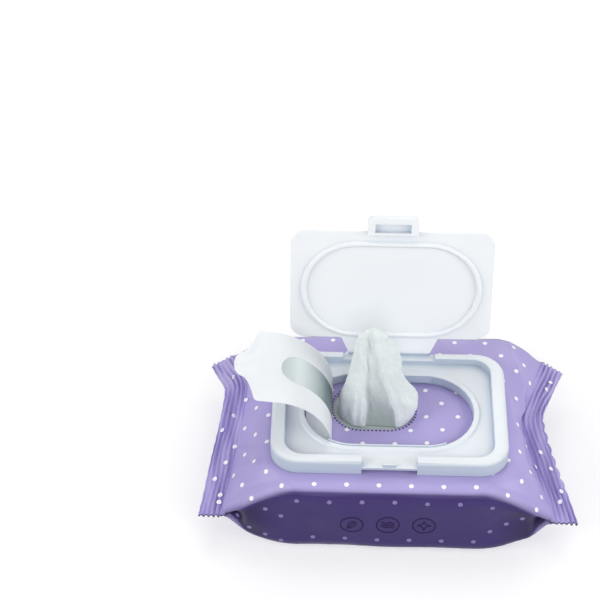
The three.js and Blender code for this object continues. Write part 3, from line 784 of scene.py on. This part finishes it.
def make_perforation(film_tree, material):
    """Row of small round marks, each a low crown."""
    outline = to_hole_edge(circle(720) * HOLE_WIDTH / 2 + (HOLE_X, HOLE_Y), MARK_OFFSET)
    outline = np.vstack([outline, outline[:1]])
    run = run_along(outline)
    points, faces = [], []
    for at in np.arange(MARK_COUNT) / MARK_COUNT * run[-1]:
        x, y = (np.interp(at, run, outline[:, k]) for k in range(2))
        hit = film_tree.ray_cast(Vector((x, y, RAY_HEIGHT)) * MM, Vector((0, 0, -1)))[0]
        z = hit.z / MM + MARK_LIFT
        first = len(points)
        points.append((x, y, z + MARK_CROWN))
        points += [(x + MARK_RADIUS * c, y + MARK_RADIUS * s, z) for c, s in circle(MARK_SIDES)]
        faces += [(first, first + 1 + i, first + 1 + (i + 1) % MARK_SIDES) for i in range(MARK_SIDES)]
    obj = add_object("perforation_marks", points, faces)
    finish_piece(obj, material, "pack", "film")


# Printed rings on the front face

PRINT_SPACING, PRINT_Z, PRINT_SCALE = 17.0, 20.0, 1.15
RING_RADIUS, STROKE_HALF, INK_LIFT = 4.6, 0.27, 0.12


def stroke(path, half, closed):
    """Flat band along a path in the plane, as points and quads."""
    ahead = np.roll(path, -1, axis=0) if closed else np.vstack([path[1:], path[-1:]])
    behind = np.roll(path, 1, axis=0) if closed else np.vstack([path[:1], path[:-1]])
    way = unit(ahead - behind)
    side = np.stack([-way[:, 1], way[:, 0]], 1) * half
    points = np.stack([path - side, path + side], 1).reshape(-1, 2)
    count = len(path)
    quads = []
    for k in range(count if closed else count - 1):
        a, b = 2 * k, 2 * ((k + 1) % count)
        quads.append((a, b, b + 1, a + 1))
    return points, quads


def leaf():
    t = np.linspace(-1, 1, 24)
    edge = 1.35 * (1 - t * t)
    right, left = np.stack([edge, 2.6 * t], 1), np.stack([-edge[::-1], 2.6 * t[::-1]], 1)
    tilt = np.array([[0.82, -0.57], [0.57, 0.82]])
    vein = np.stack([np.zeros(8), np.linspace(-3.2, 1.6, 8)], 1)
    return [(np.vstack([right, left[1:-1]]) @ tilt, True), (vein @ tilt, False)]


def waves():
    t = np.linspace(-2.7, 2.7, 26)
    return [(np.stack([t, 0.45 * np.sin(t * 2.3) + up], 1), False) for up in (-1.3, 0.0, 1.3)]


def spark():
    ways = circle(48)
    reach = 3.0 * (np.abs(ways) ** 0.66).sum(axis=1) ** -1.9
    return [(ways * reach[:, None], True)]


def make_print(film_tree, material):
    """Three rings in a row, each round a simple drawing, laid on the film as bands of ink."""
    points, faces = [], []
    for place, motif in ((-1, leaf), (0, waves), (1, spark)):
        ring = (circle(56) * RING_RADIUS, True)
        for path, closed in [ring] + motif():
            flat, quads = stroke(path * PRINT_SCALE, STROKE_HALF, closed)
            first = len(points)
            for u, v in flat:
                start = Vector((place * PRINT_SPACING + u, -2 * PACK_DEPTH, PRINT_Z + v)) * MM
                spot, facing = film_tree.ray_cast(start, Vector((0, 1, 0)))[:2]
                points.append(tuple(spot / MM + facing * INK_LIFT))
            faces += [tuple(first + i for i in quad) for quad in quads]
    obj = add_object("front_print", points, faces)
    finish_piece(obj, material, "pack", "film")


# Moulded frame and lid

MERGE_DISTANCE, FLAT_ANGLE = 0.002, math.radians(1)
MOULD_EDGE_DEGREES, MOULD_BEVEL = 38, 0.28


def make_moulding(node, name, body, material):
    """The node's own form with its edges broken as a mould breaks them."""
    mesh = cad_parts[node].data.copy()
    mesh.name = name
    work = bmesh.new()
    work.from_mesh(mesh)
    bmesh.ops.remove_doubles(work, verts=work.verts, dist=MERGE_DISTANCE * MM)
    bmesh.ops.dissolve_limit(work, angle_limit=FLAT_ANGLE, verts=work.verts, edges=work.edges)
    work.to_mesh(mesh)
    work.free()
    shade_smooth(mesh, sharp=MOULD_EDGE_DEGREES)
    obj = new_object(name, mesh)
    bevel = obj.modifiers.new("edges", "BEVEL")
    bevel.width = MOULD_BEVEL * MM
    bevel.segments = 3
    bevel.limit_method = "ANGLE"
    bevel.angle_limit = math.radians(MOULD_EDGE_DEGREES)
    bevel.harden_normals = True
    finish_piece(obj, material, body, "lid_plastic", node)


# The hinge's web: steps down from the hinge and up along the open lid, each with its half thickness
WEB_DOWN, WEB_UP = ((1.0, 0.22), (0.3, 0.2)), ((0.0, 0.16), (0.3, 0.16), (0.7, 0.2), (1.4, 0.3))
WEB_COLUMNS, WEB_INSET = 21, 0.4


def make_hinge_web(material):
    """Thin web between the frame's rear rib and the lid's strap."""
    hinge = np.array(HINGE)
    up = np.array([0.0, -math.cos(OPEN_ANGLE), math.sin(OPEN_ANGLE)])
    path = [(hinge - (0, 0, down), half) for down, half in WEB_DOWN]
    path += [(hinge + up * step, half) for step, half in WEB_UP]
    reach = STRAP_HALF - WEB_INSET
    points = []
    for face in (-1, 1):
        for (_, y, z), half in path:
            points += [(x, y + face * half, z) for x in np.linspace(-reach, reach, WEB_COLUMNS)]
    obj = add_closed("hinge_web", points, slab_faces(len(path), WEB_COLUMNS))
    finish_piece(obj, material, None, "lid_plastic")
    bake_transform(obj)


COLLAR_THICK, COLLAR_ROUND, COLLAR_CLEAR = 0.8, 0.25, 0.05
COLLAR_FOOT, COLLAR_STEPS = PACK_HEIGHT + 1.6, 60


def make_collar(name, from_x, to_x, hand, top, material):
    """Raised stretch of the window's collar, just inside the bead; hand is -1 in front and 1 at the rear."""
    half_x, half_y = WINDOW_WIDTH / 2, WINDOW_DEPTH / 2
    profile = [(COLLAR_CLEAR, COLLAR_FOOT), (COLLAR_CLEAR, top - COLLAR_ROUND), (COLLAR_ROUND, top),
               (COLLAR_THICK - COLLAR_ROUND, top), (COLLAR_THICK, top - COLLAR_ROUND),
               (COLLAR_THICK, COLLAR_FOOT)]
    points = []
    for x in np.linspace(from_x, to_x, COLLAR_STEPS + 1):
        past = max(abs(x) - (half_x - half_y), 0) * math.copysign(1, x)
        depth = hand * math.sqrt(half_y ** 2 - past ** 2)
        for inward, z in profile:
            share = inward / half_y
            points.append((x - past * share, BASE_Y + depth * (1 - share), z))
    count = len(profile)
    ends = [range(count), range(COLLAR_STEPS * count, len(points))]
    faces = tube_faces(COLLAR_STEPS + 1, count) + [tuple(end) for end in ends]
    obj = add_closed(name, points, faces, sharp=40)
    finish_piece(obj, material, "pack", "lid_plastic")


# Wipe drawn up through the hole

WIPE_FOOT, WIPE_TOP, WIPE_PEAK = 40.9, 92.4, (-10.6, 3.4)
WIPE_SHOULDER, CLOTH_THICK, HOLE_CLEAR = 0.9, 0.35, 0.8
WIPE_ACROSS, WIPE_SIDE_STEPS, WIPE_DOME_STEPS = 200, 84, 14
# Height share, then the plan: the hollow's middle in front, its deep left side, the left column's edge
# and front, the left side, three points at the back, the right side, the right sheet's front and edge,
# and the hollow's shallow right side
WIPE_ROWS = [
    (0.00, [(-4.5, -10), (-10.8, -9.6), (-12.2, -11.2), (-18, -9.6), (-24.8, -1), (-18, 11.2),
            (-6, 13.4), (5, 11.6), (11.6, 1), (9.5, -9.2), (4.4, -11.2), (2.8, -10.6)]),
    (0.14, [(-5, -7.2), (-10.6, -6.8), (-11.9, -9.6), (-17.5, -9), (-24.2, -1.2), (-17.6, 10.2),
            (-6.2, 12), (5, 11), (12.4, 0.6), (10.4, -8.8), (3.2, -10.2), (1.8, -8.6)]),
    (0.28, [(-5.6, -5.6), (-10.4, -4.9), (-11.8, -8.2), (-17, -7.6), (-22.8, -0.8), (-17, 9.4),
            (-6.4, 11.2), (4.6, 10.2), (12.2, 1), (9.4, -7.6), (1.2, -9), (-0.4, -6.8)]),
    (0.42, [(-6.6, -4.3), (-10.4, -3.5), (-11.8, -6.6), (-16.4, -6), (-21.4, -0.2), (-16.4, 8.6),
            (-6.8, 10.2), (2.6, 9.2), (8.6, 1.6), (5.6, -6.2), (-0.8, -7.4), (-2.4, -5)]),
    (0.55, [(-7.6, -3.2), (-10.4, -2.5), (-11.8, -5.2), (-16, -4.6), (-20.2, 0.4), (-15.4, 8),
            (-7, 9.4), (1.2, 8.6), (5.8, 2), (3.4, -4.8), (-2.6, -6), (-4, -3.6)]),
    (0.72, [(-8.8, -2.3), (-10.7, -2), (-12.2, -3.6), (-15.4, -3.3), (-18.6, 1), (-14.4, 7.2),
            (-7.4, 8.4), (0.4, 7.8), (5.2, 2.4), (2.2, -3.2), (-4.9, -4.2), (-6.2, -2.2)]),
    (0.86, [(-9.6, -1.1), (-11.2, -1), (-13, -2), (-15, -1.9), (-17.2, 1.6), (-13.6, 6.6),
            (-7.6, 7.6), (-1.2, 7.2), (3, 2.8), (0.2, -1.8), (-6.4, -2.3), (-7.8, -1.3)]),
    (1.00, [(-10, 0.5), (-11.6, 0.4), (-13.2, 0), (-14.6, 0.3), (-15.8, 2.4), (-12.8, 6),
            (-8, 6.8), (-4.2, 6.2), (-2, 3.2), (-3.4, 0.4), (-7.4, -0.1), (-8.8, 0.4)]),
]
WIPE_CORNERS = len(WIPE_ROWS[0][1])


def wipe_plan(across, up):
    """Plan of the gathered sheet at each height, round at the back and crisp at the front's folds."""
    rows = np.array([row for _, row in WIPE_ROWS], float)
    ring = np.moveaxis(np.concatenate([rows[:, -2:], rows, rows[:, :3]], axis=1), 0, 1)
    rounded = spline(ring, np.arange(-2, WIPE_CORNERS + 3), across)
    corner = across.astype(int)
    straight = lerp(ring[corner + 2], ring[corner + 3], (across - corner)[:, None, None])
    from_front = np.minimum(across, WIPE_CORNERS - across)
    crisp = lerp(1.0, 0.3, smooth(from_front, 2.4, 3.0))[:, None, None]
    columns = lerp(rounded, rolling_mean(straight, reach=6), crisp)
    return spline(np.moveaxis(columns, 0, 1), [share for share, _ in WIPE_ROWS], up)


def ridge(phase):
    """Sharp-edged wave about zero."""
    return 0.64 - np.abs(np.sin(phase))


def upper_wipe(u):
    """Share of the loose folds: full between the foot and the peak."""
    return smooth(u, 0.06, 0.3) * (1 - smooth(u, 0.9, 1.0))


def wipe_folds(place, u):
    """Height of the folds at places across the sheet and shares u of its height."""
    s = place * TURN / WIPE_CORNERS
    low = smooth(u, 0.02, 0.08) * (1 - smooth(u, 0.14, 0.4))
    left = smooth(place, 1.6, 2.2) * (1 - smooth(place, 3.6, 4.4))
    pleats = low * (0.75 * left * ridge(9 * s + u) + 0.2 * ridge(11 * s + 1))
    long = 0.4 * ridge(1.5 * s + 2.6 * u + 0.5) + 0.3 * ridge(2 * s - 4.2 * u)
    short = 0.22 * ridge(7 * u + 1.5 * s) + 0.14 * ridge(11 * u - 3 * s + 1)
    dent = 1.6 * np.exp(-((place - 8.8) / 0.36) ** 2 - ((u - 0.21) / 0.08) ** 2)
    return pleats + upper_wipe(u) * (long + short) - dent


def wipe_painted_shade(place, u):
    """Painted shade on the sheet: a little all up the hollow, most at the hollow's foot, and some all round
    the foot.
    """
    hollow = 1 - smooth(np.minimum(place, WIPE_CORNERS - place), 0.9, 1.75)
    in_hollow = hollow * (0.14 + 0.7 * (1 - smooth(u, 0.06, 0.55)))
    return np.clip(in_hollow + 0.3 * (1 - smooth(u, 0.0, 0.16)), 0, 1)


def crumple(x, y, z):
    """Height of the cloth's small irregular crumples."""
    broad = noise.noise(Vector((x / 5, y / 5, z / 16)))
    creased = abs(noise.noise(Vector((x / 3.4 + z / 20 + 9, y / 3.4, z / 13))))
    return 0.7 * broad + 0.6 * creased


def keep_in_hole(points):
    """Moves the points near the film, in place, inwards until they clear the hole's edge."""
    over = np.maximum(hole_distance(points[..., 0], points[..., 1]) + HOLE_CLEAR, 0)
    near = 1 - smooth(points[..., 2], PACK_HEIGHT + 0.6, PACK_HEIGHT + 4)
    points[..., :2] += unit(np.array([HOLE_X, HOLE_Y]) - points[..., :2]) * (over * near)[..., None]


def wipe_points(across):
    """Points of the sheet, row by row up to the peak, and each row's share of the height."""
    up = np.linspace(0, 1, WIPE_SIDE_STEPS + 1)
    plan, peak = wipe_plan(across, up), np.array(WIPE_PEAK)
    bend = np.linspace(0, math.pi / 2, WIPE_DOME_STEPS + 1)[1:-1]
    dome = peak + (plan[-1] - peak) * np.cos(bend)[:, None, None]
    rise = np.concatenate([up * WIPE_SHOULDER, lerp(WIPE_SHOULDER, 1, np.sin(bend))])
    u, place = rise[:, None], across[None, :]
    points = np.empty((len(rise), len(across), 3))
    points[..., :2] = np.concatenate([plan, dome])
    points[..., 2] = lerp(WIPE_FOOT, WIPE_TOP, u)
    normal = grid_normals(points)
    points += normal * wipe_folds(place, u)[..., None]
    crumples = smooth(rise, 0.03, 0.15)
    for c in np.ndindex(points.shape[:2]):
        points[c] += normal[c] * crumple(*points[c]) * crumples[c[0]]
    points[..., 0] += upper_wipe(u) * (0.45 * np.sin(9 * u + 0.7 * place) + 0.3 * np.sin(17 * u - place))
    keep_in_hole(points)
    return points, rise


def make_wipe(material):
    """Sheet gathered round the hole and drawn up to a soft peak, hollow between two columns in front."""
    across = np.linspace(0, WIPE_CORNERS, WIPE_ACROSS, endpoint=False)
    points, rise = wipe_points(across)
    faces = tube_faces(len(rise), WIPE_ACROSS)
    peak = len(rise) * WIPE_ACROSS
    last = peak - WIPE_ACROSS
    faces += [(last + i, last + (i + 1) % WIPE_ACROSS, peak) for i in range(WIPE_ACROSS)]
    obj = add_object("drawn_wipe", [*points.reshape(-1, 3), (*WIPE_PEAK, WIPE_TOP)], faces)
    cloth_shade = wipe_painted_shade(across[None, :], rise[:, None])
    set_point_values(obj.data, "cloth_shade", np.append(cloth_shade, 0.0))
    thick = obj.modifiers.new("cloth", "SOLIDIFY")
    thick.thickness = CLOTH_THICK * MM
    thick.offset = 0
    apply_modifiers(obj)
    finish_piece(obj, material, "pack", "wipe", "pulled_wipe")
    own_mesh(obj)


# Seal label

LABEL_ROWS, LABEL_COLUMNS, LABEL_THICK = 171, 49, 0.22
LABEL_SPREAD, SPREAD_FADE, LABEL_END = 1.7, 8.0, 0.3
TAB_NECK, NECK_INSET = 0.6, 0.8
# Shares just under one, which leave the outline's curves short of upright
CORNER_ROUND, TAB_ROUND = 0.96, 0.98
LABEL_FOLD_LENGTH, LABEL_CURL_LENGTH = LABEL_FOLD_RADIUS * math.pi / 2, LABEL_CURL_RADIUS * LABEL_CURL
LABEL_BODY = LABEL_STUCK + LABEL_FOLD_LENGTH + LABEL_CURL_LENGTH + LABEL_FLAP
LABEL_LENGTH = LABEL_BODY + LABEL_TAB
# Place across the outer face in the print's coordinates: far away, so that the patch stays off it
OUTER_FACE = 1000.0


def label_half_width(run):
    """Half width at a length along the label: round at the stuck end, with a tab at the free end."""
    if run < LABEL_HALF:
        fade = float(smooth(run, LABEL_STUCK, LABEL_STUCK + SPREAD_FADE))
        return math.sqrt((LABEL_HALF + LABEL_SPREAD * (1 - fade)) ** 2 - (LABEL_HALF - run) ** 2)
    if run < LABEL_BODY - LABEL_CORNER:
        return LABEL_HALF
    if run < LABEL_BODY:
        part = (run - LABEL_BODY + LABEL_CORNER) / LABEL_CORNER
        return LABEL_HALF - LABEL_CORNER * (1 - math.sqrt(1 - part * part * CORNER_ROUND))
    reach = (run - LABEL_BODY) / LABEL_TAB
    shoulder = LABEL_HALF - LABEL_CORNER * NECK_INSET - LABEL_TAB_HALF
    neck = shoulder * (1 - min(reach / TAB_NECK, 1)) ** 2
    return neck + LABEL_TAB_HALF * math.sqrt(1 - reach ** 4 * TAB_ROUND)


def label_point(run):
    """Place in length and height, and direction, at a length along the label."""
    bends = [(LABEL_STUCK, 0), (LABEL_FOLD_LENGTH, 1 / LABEL_FOLD_RADIUS),
             (LABEL_CURL_LENGTH, 1 / LABEL_CURL_RADIUS), (math.inf, 0)]
    x, z, angle, left = LABEL_START, LABEL_Z, 0.0, run
    for length, curvature in bends:
        step = min(left, length)
        turn = step * curvature
        chord = 2 / curvature * math.sin(turn / 2) if curvature else step
        x += chord * math.cos(angle + turn / 2)
        z += chord * math.sin(angle + turn / 2)
        angle += turn
        left -= step
    return x, z, angle


def label_lift(run, v, half):
    """Lift of the free part off its plain curl: small waves, and a twist that grows towards the tab."""
    free = float(smooth(run, LABEL_STUCK + LABEL_LEVEL, LABEL_LENGTH))
    wave = 0.5 * math.sin(v * 3.1 + 0.7) + 0.25 * math.sin(v * 7 + run / 6)
    return free * (wave - LABEL_LIFT - LABEL_TWIST * v * half / LABEL_HALF)


def make_label(material):
    """The label, stuck at one end and peeled back, with both faces of its thin film."""
    points, places = [], []
    for face in (1, -1):
        for run in np.linspace(LABEL_END - LABEL_SPREAD, LABEL_LENGTH, LABEL_ROWS):
            x, z, angle = label_point(run)
            half = label_half_width(run)
            for v in np.linspace(1, -1, LABEL_COLUMNS):
                lift = face * LABEL_THICK / 2 + label_lift(run, v, half)
                points.append((x - lift * math.sin(angle), BASE_Y + half * v, z + lift * math.cos(angle)))
                places.append((run * MM, (half * v if face < 0 else OUTER_FACE) * MM))
    faces = slab_faces(LABEL_ROWS, LABEL_COLUMNS)
    obj = add_closed("peeled_label", points, faces, places, sharp=50)
    finish_piece(obj, material, "pack", "label", "seal_label")
    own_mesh(obj)


# Floor, light and camera

FLOOR_SIZE, FLOOR_DROP = 6.0, 0.0001
FLOOR_NEAR_FAR, FLOOR_GLOW = (0.10, 0.24), (0.46, 0.84)
WORLD_LIT, WORLD_SEEN = 0.3, 1.0
LAMP_AIM = (0.0, 0.0, 0.05)
CAMERA_AZIMUTH, CAMERA_ELEVATION, CAMERA_DISTANCE = math.radians(1.7), math.radians(43.0), 0.904
CAMERA_TARGET = (-0.0436, 0.0260, 0.0887)
CAMERA_LENS, CAMERA_SENSOR = 113.9, 36.0


def make_floor():
    """Pale floor, with a glow that only the camera and reflections see and that is weaker at the pack, which
    paints shade on the floor round the pack.
    """
    bpy.ops.mesh.primitive_plane_add(size=FLOOR_SIZE, location=(0, 0, -FLOOR_DROP))
    floor = bpy.context.object
    floor.name = "floor"
    n = Nodes("floor")
    n.set("Roughness", 0.9)
    place = n.object_space()
    grey = n.mix(n.noise(place, scale=3.0), (0.54, 0.54, 0.55, 1), (0.56, 0.56, 0.57, 1))
    n.set("Base Color", grey)
    path = n.tree.nodes.new("ShaderNodeLightPath")
    seen = n.math("ADD", path.outputs["Is Camera Ray"], path.outputs["Is Glossy Ray"], clamp=True)
    away = n.add("ShaderNodeVectorMath", Vector=place)
    away.operation = "LENGTH"
    far = n.range(away.outputs["Value"], FLOOR_NEAR_FAR, FLOOR_GLOW)
    glow = n.add("ShaderNodeEmission", Color=(1, 1, 1, 1), Strength=n.math("MULTIPLY", seen, far))
    both = n.tree.nodes.new("ShaderNodeAddShader")
    n.tree.links.new(n.shader.outputs[0], both.inputs[0])
    n.tree.links.new(glow.outputs[0], both.inputs[1])
    n.tree.links.new(both.outputs[0], n.tree.nodes["Material Output"].inputs["Surface"])
    floor.data.materials.append(n.material)


def make_world():
    """White surroundings, brighter to the camera than as a light."""
    world = bpy.data.worlds.new("studio")
    bpy.context.scene.world = world
    world.use_nodes = True
    tree = world.node_tree
    background = tree.nodes["Background"]
    background.inputs["Color"].default_value = (1, 1, 1, 1)
    path = tree.nodes.new("ShaderNodeLightPath")
    power = tree.nodes.new("ShaderNodeMapRange")
    power.inputs["To Min"].default_value = WORLD_LIT
    power.inputs["To Max"].default_value = WORLD_SEEN
    tree.links.new(path.outputs["Is Camera Ray"], power.inputs["Value"])
    tree.links.new(power.outputs[0], background.inputs["Strength"])


def add_lamp(name, place, size, power):
    """Round area lamp, in metres and watts, aimed at the pack."""
    lamp = bpy.data.lights.new(name, "AREA")
    lamp.shape = "DISK"
    lamp.size = size
    lamp.energy = power
    obj = new_object(name, lamp)
    obj.location = place
    obj.rotation_euler = (Vector(LAMP_AIM) - Vector(place)).to_track_quat("-Z", "Y").to_euler()


def make_camera():
    level = math.cos(CAMERA_ELEVATION)
    back = Vector((math.sin(CAMERA_AZIMUTH) * level, -math.cos(CAMERA_AZIMUTH) * level,
                   math.sin(CAMERA_ELEVATION)))
    camera = bpy.data.cameras.new("camera")
    camera.lens = CAMERA_LENS
    camera.sensor_width = CAMERA_SENSOR
    obj = new_object("camera", camera)
    obj.location = Vector(CAMERA_TARGET) + back * CAMERA_DISTANCE
    obj.rotation_euler = (-back).to_track_quat("-Z", "Y").to_euler()
    bpy.context.scene.camera = obj


# The scene

# The frame's white is a little darker and bluer than the lid's: painted shade
frame_white_shaded = plastic_material("frame_plastic", colour(225, 231, 236), colour(234, 238, 242),
                               crevice_shade_share=0.8, wall_shade_share=0.55)
white_lid = plastic_material("lid_plastic_white", colour(238, 242, 245), colour(246, 248, 250),
                             crevice_shade_share=0.5, wall_shade_share=0.0)
grid = film_grid()
film_tree = make_film(grid, film_material())
make_dots(grid, film_tree, dot_material())
make_perforation(film_tree, ink_material("perforation_ink", colour(30, 24, 50), colour(42, 34, 66)))
make_print(film_tree, ink_material("print_ink", colour(24, 2, 54), colour(30, 4, 64)))
make_moulding("lid_base", "frame_moulding", "pack", frame_white_shaded)
make_moulding("flip_lid", "lid_moulding", "lid", white_lid)
make_hinge_web(white_lid)
make_collar("collar_front", from_x=-29, to_x=27, hand=-1, top=47.7, material=frame_white_shaded)
make_collar("collar_rear", from_x=-21, to_x=21, hand=1, top=48.0, material=frame_white_shaded)
make_wipe(wipe_material("drawn_cloth", colour(208, 219, 218), colour(241, 246, 247)))
make_label(label_material())
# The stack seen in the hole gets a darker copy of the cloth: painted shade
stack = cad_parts["wipe_stack"]
stack.data.materials.clear()
stack.data.materials.append(wipe_material("stack_cloth_shaded", colour(160, 172, 170), colour(196, 206, 204)))

make_floor()
make_world()
add_lamp("left", place=(-1.0, -0.45, 0.68), size=0.8, power=7.0)
add_lamp("right", place=(1.0, -0.45, 0.5), size=0.8, power=6.4)
add_lamp("front", place=(0.05, -1.1, 0.8), size=0.7, power=3.6)
add_lamp("top", place=(0.0, 0.5, 1.2), size=0.9, power=4.0)
add_lamp("rear", place=(0.2, 1.1, 0.6), size=0.8, power=3.4)
make_camera()
bpy.context.scene.view_settings.view_transform = "Standard"
